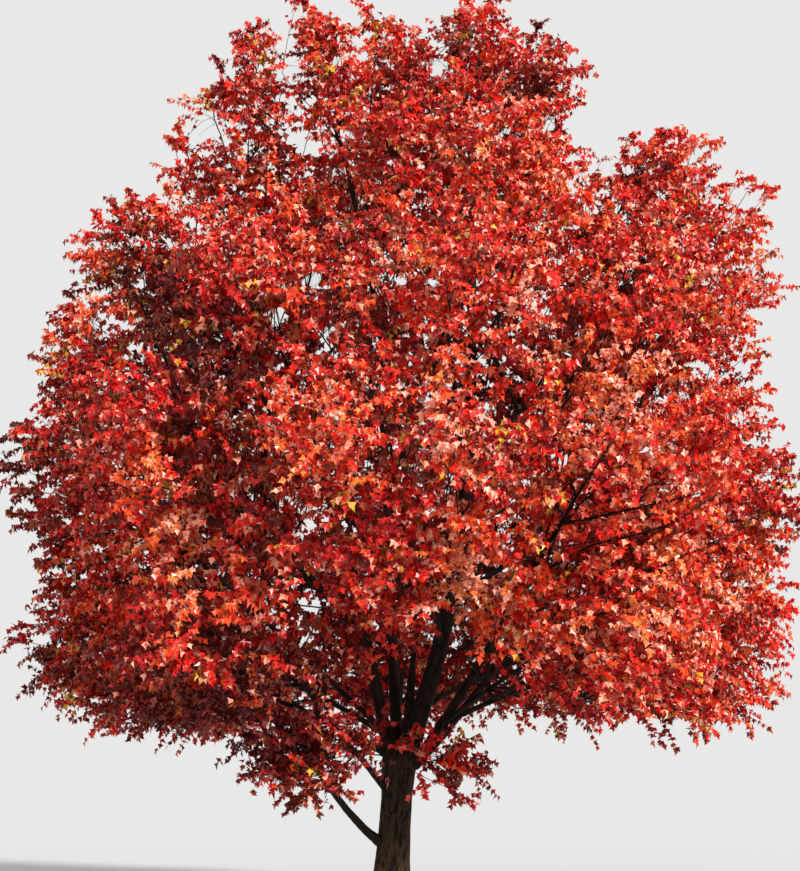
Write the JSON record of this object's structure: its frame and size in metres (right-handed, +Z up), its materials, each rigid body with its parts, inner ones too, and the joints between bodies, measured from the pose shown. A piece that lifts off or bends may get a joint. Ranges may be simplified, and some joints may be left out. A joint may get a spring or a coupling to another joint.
{
  "type": "red maple tree",
  "caption": "Open-grown red maple in full autumn leaf: a short trunk forks low into ascending limbs under a broad, uneven, rounded crown of scarlet and crimson foliage.",
  "frame": {"origin": "middle of the flat cut under the trunk, at ground level", "axes": "+Z up, +X to the right and +Y away, as the tree is seen from its front"},
  "size_m": [9.571, 9.1956, 11.184],
  "materials": {
    "trunk_bark": "grey-brown bark, broken into long shallow ridges, rough and matt",
    "limb_bark": "darker, smoother grey-brown bark of limbs and twigs, matt",
    "foliage": "autumn leaves from deep crimson through scarlet to orange, thin, slightly waxy, with pale glints"
  },
  "bodies": {
    "root": {"trunk": "trunk_bark", "skirt_right": "foliage", "skirt_right_back": "foliage", "skirt_back": "foliage", "skirt_left_back": "foliage", "skirt_left": "foliage", "skirt_left_front": "foliage", "skirt_right_front": "foliage", "low_left": "foliage", "low_right": "foliage", "flank_right": "foliage", "flank_right_back": "foliage", "flank_back": "foliage", "flank_left_back": "foliage", "flank_left": "foliage", "flank_left_front": "foliage", "flank_front": "foliage", "flank_right_front": "foliage", "shoulder_right": "foliage", "shoulder_right_back": "foliage", "shoulder_back": "foliage", "shoulder_left_back": "foliage", "shoulder_left_low": "foliage", "shoulder_left": "foliage", "shoulder_left_front": "foliage", "shoulder_front": "foliage", "shoulder_right_front": "foliage", "crest_right": "foliage", "crest_right_back": "foliage", "crest_back": "foliage", "crest_left": "foliage", "crest_front": "foliage", "peak_left": "foliage", "peak_left_outer": "foliage", "peak_right": "foliage", "peak_right_outer": "foliage", "peak_back": "foliage", "great_limb": "limb_bark", "stem_left": "limb_bark", "stem_back": "limb_bark", "stem_centre": "limb_bark", "stem_right": "limb_bark", "stem_low_right": "limb_bark", "bough_low_left": "limb_bark", "bough_skirt_left_front": "limb_bark", "bough_skirt_left": "limb_bark", "bough_flank_left": "limb_bark", "bough_skirt_left_back": "limb_bark", "bough_skirt_back": "limb_bark", "bough_skirt_right_back": "limb_bark", "bough_skirt_right": "limb_bark", "bough_skirt_right_front": "limb_bark", "bough_flank_left_front": "limb_bark", "bough_flank_front": "limb_bark", "bough_flank_right_front": "limb_bark", "bough_flank_back": "limb_bark", "bough_flank_right_back": "limb_bark", "bough_flank_left_back": "limb_bark", "bough_shoulder_front": "limb_bark", "bough_shoulder_right_back": "limb_bark"}
  },
  "joints": []
}
